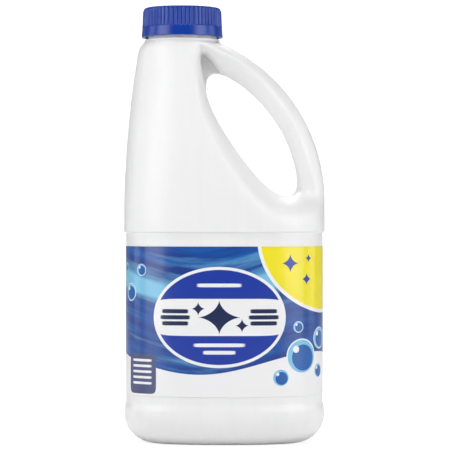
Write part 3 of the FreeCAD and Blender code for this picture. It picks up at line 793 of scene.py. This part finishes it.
@dataclass(frozen=True)
class BlowMouldedPolyethylene(Finish):
    """High-density polyethylene, extrusion blow moulded in a sand-blasted mould.

    It is an opaque waxy white that lets a little light into its edges. The mould leaves a fine
    grain, the parison leaves faint upright streaks, and the parting line is a thin ridge in the
    plane between the two mould halves.
    """

    colour: str = "#F5F5F5"
    shade: str = "#EFEFEF"
    roughness: float = 0.35
    ior: float = 1.54
    grain_mm: float = 0.9
    streak_mm: float = 5.0
    streak_drawn: float = 0.06
    parting_mm: float = 0.35
    grain_bump: Pair = (0.25, 0.08)
    streak_bump: Pair = (0.2, 0.4)
    parting_bump: Pair = (0.8, 0.12)

    def material(self) -> Material:
        """Return the material.

        Colour: noise stretched upright mixes the two whites. Bump: a fine noise, the streaks and a
        bell curve of the distance from the parting plane.
        """
        material, tree, place = blank_material("blow_moulded_polyethylene")
        upright = add(tree, "Mapping", {"Vector": place, "Scale": (1.0, 1.0, self.streak_drawn)})
        streaks = noise(tree, upright.outputs[0], self.streak_mm, 3.0)
        grain = noise(tree, place, self.grain_mm, 2.0)
        colour = two_tone(tree, streaks, linear(self.colour), linear(self.shade))
        axes = add(tree, "SeparateXYZ", {0: place})
        far = math_node(tree, "MULTIPLY", axes.outputs["Y"], 1.0 / MM / self.parting_mm)
        ridge = math_node(tree, "POWER", math.exp(-1.0), math_node(tree, "MULTIPLY", far, far))
        normal = bump(tree, grain, *self.grain_bump)
        normal = bump(tree, streaks, *self.streak_bump, Normal=normal)
        normal = bump(tree, ridge, *self.parting_bump, Normal=normal)
        self.surface(tree, colour, normal, {
            "Subsurface Weight": 0.12, "Subsurface Radius": (1.0, 0.95, 0.9),
            "Subsurface Scale": 0.0015})
        return material


@dataclass(frozen=True)
class MouldedPolypropylene(Finish):
    """Polypropylene coloured through, injection moulded in a fine-blasted tool.

    It is a deep blue with a satin sheen: clear, soft-edged highlights on the smooth band and broken
    ones along the ribs, and faint flow marks that wander through the colour.
    """

    colour: str = "#04359A"
    flow: str = "#073CA2"
    roughness: float = 0.27
    ior: float = 1.49
    grain_mm: float = 0.5
    flow_mm: float = 14.0
    grain_bump: Pair = (0.3, 0.06)

    def material(self) -> Material:
        """Return the material: noise mixes the two blues, and a fine noise is its bump."""
        material, tree, place = blank_material("moulded_polypropylene")
        marks = noise(tree, place, self.flow_mm, 3.0, Distortion=0.6)
        colour = two_tone(tree, marks, linear(self.colour), linear(self.flow))
        grain = noise(tree, place, self.grain_mm, 2.0)
        self.surface(tree, colour, bump(tree, grain, *self.grain_bump))
        return material


@dataclass(frozen=True)
class PolyethyleneFoam(Finish):
    """Closed-cell polyethylene foam, die cut from sheet: matt off-white with fine round pores."""

    colour: str = "#EDECE6"
    pore_colour: str = "#D9D7CE"
    roughness: float = 0.85
    ior: float = 1.5
    pore_mm: float = 0.8
    pore_bump: Pair = (0.5, 0.1)

    def material(self) -> Material:
        """Return the material: cells of a Voronoi pattern darken and dent the surface."""
        material, tree, place = blank_material("polyethylene_foam")
        cells = add(tree, "TexVoronoi", {"Vector": place, "Scale": 1.0 / MM / self.pore_mm})
        depth = cells.outputs["Distance"]
        colour = two_tone(tree, depth, linear(self.pore_colour), linear(self.colour))
        self.surface(tree, colour, bump(tree, depth, *self.pore_bump))
        return material


class Motif(Enum):
    """Kinds of shape in the label's print, with the power of the curve that bounds each."""

    OVAL = 2.0
    BAR = 8.0
    SPARK = 0.62


@dataclass(frozen=True)
class Shape:
    """One printed shape: its middle and half sizes in millimetres from the front's lower edge."""

    motif: Motif
    colour: str
    x: float
    y: float
    wide: float
    tall: float


@dataclass(frozen=True)
class PrintedFilm(Finish):
    """Gloss polypropylene film, reverse printed by rotogravure.

    The inks are even fields with sharp edges under a clear gloss skin, and the water's streaks are
    soft tones between three blues. The film shows a very slight ripple where it was pulled round
    the bottle.
    """

    ground: str = "#F3F3F4"
    yellow: str = "#F5E61A"
    navy: str = "#041E4E"
    deep: str = "#04348A"
    middle: str = "#0459AC"
    light: str = "#7CC4E6"
    royal: str = "#0834A2"
    slate: str = "#414A78"
    wave_level: float = 20.0
    wave_tall: float = 6.5
    wave_long: float = 148.0
    wave_start: float = 22.0
    streak_long: float = 95.0
    streak_tall: float = 7.0
    crest_level: float = 47.0
    crest_half: float = 7.5
    crest_gain: float = 0.36
    dark_range: Pair = (0.38, 0.62)
    pale_range: Pair = (0.56, 0.86)
    sun: Pair = (68.0, 95.0)
    badge: Pair = (-3.0, 47.5)
    panel: Pair = (-52.0, 13.5)
    roughness: float = 0.28
    ior: float = 1.5
    edge_mm: float = 0.12
    ripple_mm: float = 22.0
    ripple_bump: Pair = (0.25, 0.6)

    def shapes(self) -> list[Shape]:
        """Return the print over the water from the lowest ink up: sun, bubbles, badge, panel."""
        oval, bar, spark = Motif.OVAL, Motif.BAR, Motif.SPARK
        x, y = self.sun
        sun = [Shape(oval, self.ground, x, y, 48.5, 45.5),
               Shape(oval, self.yellow, x, y, 46.5, 43.5)]
        for x, y, size in ((40.0, 79.5, 5.6), (51.5, 70.0, 3.8), (53.0, 82.5, 2.6)):
            sun.append(Shape(spark, self.royal, x, y, size, size))
        bubbles = []
        for x, y, size in ((48.0, 24.0, 10.5), (64.0, 34.5, 6.6), (34.0, 11.5, 5.2),
                           (62.5, 15.0, 4.4), (45.5, 41.5, 3.4), (-62.0, 62.0, 5.4),
                           (-52.0, 75.5, 3.6), (-68.0, 77.0, 2.6)):
            for colour, moved, share in ((self.ground, 0.0, 1.0), (self.light, 0.0, 0.93),
                                         (self.middle, 0.08, 0.74), (self.ground, -0.4, 0.2)):
                bubbles.append(Shape(oval, colour, x + moved * size, y - moved * size,
                                     share * size, share * size))
        x, y = self.badge
        badge = [Shape(oval, self.ground, x, y, 40.0, 30.0),
                 Shape(oval, self.royal, x, y, 38.2, 28.2),
                 Shape(bar, self.ground, x, y, 39.0, 11.0),
                 Shape(spark, self.navy, x, y, 13.0, 10.4),
                 Shape(spark, self.navy, x - 12.5, y + 5.1, 4.2, 4.2),
                 Shape(spark, self.navy, x + 13.5, y - 4.9, 4.2, 4.2)]
        for side in (-1.0, 1.0):
            badge += [Shape(bar, self.navy, x + 26.5 * side, y + 3.6 * row, 9.0 - abs(row), 1.25)
                      for row in (-1.0, 0.0, 1.0)]
        for up, wide in ((19.0, 13.0), (-16.5, 15.0), (-20.9, 9.5)):
            badge.append(Shape(bar, self.ground, x, y + up, wide, 1.1))
        x, y = self.panel
        panel = [Shape(bar, self.slate, x, y, 10.5, 12.0)]
        panel += [Shape(bar, self.ground, x, y + 8.0 - 3.4 * row, 7.4, 0.75) for row in range(5)]
        return sun + bubbles + badge + panel

    def mask(self, tree: Tree, axes: bpy.types.Node, shape: Shape) -> Socket:
        """Return a mask that is 1 inside a shape and falls to 0 over a printed edge.

        The two scaled distances from the shape's middle, each to the motif's power, are added and
        compared with 1.

        Args:
            tree: Node tree of the film.
            axes: Node with the parts of the place on the label in millimetres.
            shape: The shape.

        Returns:
            The mask's socket.
        """
        power = shape.motif.value
        sides = []
        for part, middle, half in (("X", shape.x, shape.wide), ("Y", shape.y, shape.tall)):
            moved = math_node(tree, "MULTIPLY_ADD", axes.outputs[part], 1.0 / half, -middle / half)
            size = math_node(tree, "ABSOLUTE", moved)
            sides.append(math_node(tree, "POWER", size, power))
        total = math_node(tree, "ADD", *sides)
        sharp = min(shape.wide, shape.tall) / power / self.edge_mm
        return math_node(tree, "MULTIPLY_ADD", total, -sharp, sharp + 0.5, clamp=True)

    def water(self, tree: Tree, axes: bpy.types.Node) -> Socket:
        """Return the colour of the ground with the streaked blue water over it.

        The water fills all above a sine wave. How far a place is above the wave, and how far along
        the label, are the coordinates of two stretched noises, so the streaks follow the wave. The
        darker noise mixes the two deep blues, and the paler one adds light streaks that are
        strongest along a crest, by a bell curve of the distance from it.

        Args:
            tree: Node tree of the film.
            axes: Node with the parts of the place on the label in millimetres.

        Returns:
            The colour's socket.
        """
        turn = 2.0 * math.pi / self.wave_long
        phase = math_node(tree, "MULTIPLY_ADD", axes.outputs["X"], turn, -turn * self.wave_start)
        swell = math_node(tree, "SINE", phase)
        level = math_node(tree, "MULTIPLY_ADD", swell, self.wave_tall, self.wave_level)
        above = math_node(tree, "SUBTRACT", axes.outputs["Y"], level)
        inside = math_node(tree, "MULTIPLY_ADD", above, 1.0 / self.edge_mm, 0.5, clamp=True)
        place = add(tree, "CombineXYZ", {0: axes.outputs["X"], 1: above})
        tones = []
        for stretch, shift in ((1.0, 0.0), (0.55, 7.3)):
            flow = add(tree, "Mapping", {
                "Vector": place.outputs[0], "Location": (shift, shift, shift),
                "Scale": (1.0 / self.streak_long, stretch / self.streak_tall, 0.0)})
            tones.append(add(tree, "TexNoise", {
                "Vector": flow.outputs[0], "Scale": 1.0, "Detail": 4.0,
                "Roughness": 0.6}).outputs["Fac"])
        dark, pale = self.dark_range, self.pale_range
        share = add(tree, "MapRange", {"Value": tones[0], "From Min": dark[0],
                                       "From Max": dark[1]})
        blue = two_tone(tree, share.outputs[0], linear(self.deep), linear(self.middle))
        apart = math_node(tree, "MULTIPLY_ADD", above, 1.0 / self.crest_half,
                          -self.crest_level / self.crest_half)
        square = math_node(tree, "MULTIPLY", apart, apart)
        bell = math_node(tree, "POWER", math.exp(-1.0), square)
        rise = math_node(tree, "MULTIPLY_ADD", bell, self.crest_gain, tones[1])
        share = add(tree, "MapRange", {"Value": rise, "From Min": pale[0],
                                       "From Max": pale[1]})
        streak = two_tone(tree, share.outputs[0], blue, linear(self.light))
        return two_tone(tree, inside, linear(self.ground), streak)

    def material(self) -> Material:
        """Return the material: the water and the shapes' colours in layers under a gloss coat."""
        material, tree, place = blank_material("printed_film")
        uv = add(tree, "UVMap", uv_map="UVMap").outputs[0]
        axes = add(tree, "SeparateXYZ", {0: uv})
        colour = self.water(tree, axes)
        for shape in self.shapes():
            share = self.mask(tree, axes, shape)
            colour = two_tone(tree, share, colour, linear(shape.colour))
        ripple = noise(tree, place, self.ripple_mm, 2.0)
        self.surface(tree, colour, bump(tree, ripple, *self.ripple_bump),
                     {"Coat Weight": 0.2, "Coat Roughness": 0.12})
        return material


@dataclass(frozen=True)
class SoftBox:
    """A soft box: its place and size in metres and its power in watts.

    A strip only shows as a highlight and lights nothing by itself.
    """

    place: tuple[float, float, float]
    wide: float
    tall: float
    watts: float
    strip: bool = False


@dataclass
class Studio:
    """White sweep, soft lamps and the camera, in the photograph's frame of 450 by 450."""

    frame_px: float = 450.0
    scale_mm_px: float = 0.61
    distance_mm: float = 1310.0
    camera_height_mm: float = 132.0
    camera_x_mm: float = 0.4
    sensor_mm: float = 36.0
    clip_m: float = 50.0
    aim_m: float = 0.13
    floor_colour: str = "#F6F6F6"
    floor_m: float = 6.0
    floor_rows: int = 41
    bend_m: float = 2.0
    sweep: float = 0.4
    near_m: float = 0.05
    far_m: float = 0.35
    side_level: float = 0.05
    end_level: float = 0.12
    floor_glow: float = 1.3
    near_share: float = 0.62
    mirrored_share: float = 0.12
    boxes: tuple[SoftBox, ...] = (
        SoftBox((-1.45, -0.98, 0.62), 1.05, 1.4, 16.3),
        SoftBox((1.45, -0.98, 0.62), 1.05, 1.4, 16.3),
        SoftBox((-1.7, 0.15, 0.5), 0.6, 1.2, 4.7, True),
        SoftBox((1.7, 0.15, 0.5), 0.6, 1.2, 4.7, True),
        SoftBox((-0.1, -0.65, 2.1), 1.0, 0.8, 15.7),
        SoftBox((0.1, 1.4, 1.7), 1.0, 1.0, 20.0),
    )

    def floor(self) -> None:
        """Lay a white floor that rises far behind the object as a smooth sweep.

        The sweep's height is the square of the way past the bend, which starts level.
        """
        along = np.linspace(-self.floor_m, self.floor_m, self.floor_rows)
        rise = np.maximum(along - self.bend_m, 0.0) ** 2 * self.sweep
        x = np.array([[-self.floor_m], [self.floor_m]])
        floor = grid_mesh("studio_floor", stacked(x, along, rise) / MM)
        material, tree, place = blank_material("studio_sweep")
        matt = add(tree, "BsdfDiffuse", {"Color": linear(self.floor_colour)})
        glow = add(tree, "Emission", {"Color": WHITE, "Strength": self.floor_glow})
        rays = add(tree, "LightPath")
        seen = math_node(tree, "MULTIPLY_ADD", rays.outputs["Is Glossy Ray"], self.mirrored_share,
                         rays.outputs["Is Camera Ray"])
        far = add(tree, "VectorMath", {0: place}, operation="LENGTH")
        share = add(tree, "MapRange", {
            "Value": far.outputs["Value"], "From Min": self.near_m, "From Max": self.far_m,
            "To Min": self.near_share, "To Max": 1.0})
        white = math_node(tree, "MULTIPLY", seen, share.outputs[0])
        shader = add(tree, "MixShader", {0: white, 1: matt.outputs[0], 2: glow.outputs[0]})
        add(tree, "OutputMaterial", {"Surface": shader.outputs[0]})
        wear(floor, material)

    def world(self) -> None:
        """Light the studio softly and show white behind the object.

        The fill grows with the square of a direction's part along Y, so it comes from the front
        and the back, and the weaker fill from the two sides draws the bottle's edges.
        """
        world = bpy.data.worlds.new("studio")
        bpy.context.scene.world = world
        world.use_nodes = True
        tree = world.node_tree
        tree.nodes.clear()
        rays = add(tree, "LightPath")
        axes = add(tree, "SeparateXYZ", {0: add(tree, "TexCoord").outputs["Generated"]})
        square = math_node(tree, "MULTIPLY", axes.outputs["Y"], axes.outputs["Y"])
        gain = self.end_level - self.side_level
        level = math_node(tree, "MULTIPLY_ADD", square, gain, self.side_level)
        fill = add(tree, "Background", {"Color": WHITE, "Strength": level})
        white = add(tree, "Background", {"Color": WHITE, "Strength": 1.0})
        mixed = add(tree, "MixShader", {0: rays.outputs["Is Camera Ray"], 1: fill.outputs[0],
                                        2: white.outputs[0]})
        add(tree, "OutputWorld", {"Surface": mixed.outputs[0]})

    def lights(self) -> None:
        """Place the soft boxes, each aimed at the middle of the bottle."""
        for index, box in enumerate(self.boxes):
            lamp = bpy.data.lights.new(f"soft_box_{index}", "AREA")
            lamp.shape = "RECTANGLE"
            lamp.size = box.wide
            lamp.size_y = box.tall
            lamp.energy = box.watts
            obj = new_object(f"soft_box_{index}", lamp)
            obj.location = box.place
            obj.visible_diffuse = not box.strip
            aim = Vector((0.0, 0.0, self.aim_m)) - Vector(box.place)
            obj.rotation_euler = aim.to_track_quat("-Z", "Y").to_euler()

    def camera(self) -> None:
        """Place a level camera whose frame spans the photograph's width at the bottle's middle."""
        data = bpy.data.cameras.new("camera")
        data.sensor_width = self.sensor_mm
        data.lens = self.sensor_mm * self.distance_mm / (self.frame_px * self.scale_mm_px)
        data.clip_end = self.clip_m
        obj = new_object("camera", data)
        obj.location = (self.camera_x_mm * MM, -self.distance_mm * MM, self.camera_height_mm * MM)
        obj.rotation_euler = (math.pi / 2.0, 0.0, 0.0)
        bpy.context.scene.camera = obj

    def build(self) -> None:
        """Build the whole studio."""
        self.floor()
        self.world()
        self.lights()
        self.camera()
        bpy.context.scene.view_settings.view_transform = "Standard"


def main() -> None:
    """Build the bottle, its cap and label, dress them, and set up the studio."""
    logging.basicConfig(level=logging.INFO, format="%(name)s: %(message)s")
    form = JugForm()
    shell = MouldedBottle(form).build()
    cap = ScrewCap(form).build()
    label = WrapLabel(form).build()
    wear(shell, BlowMouldedPolyethylene().material())
    wear(cap, MouldedPolypropylene().material())
    wear(label, PrintedFilm().material())
    wear(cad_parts["cap_liner"], PolyethyleneFoam().material())
    Studio().build()
    for piece in (shell, cap, label):
        log.info("%s has %d faces", piece.name, len(piece.data.polygons))


if __name__ == "__main__":
    main()
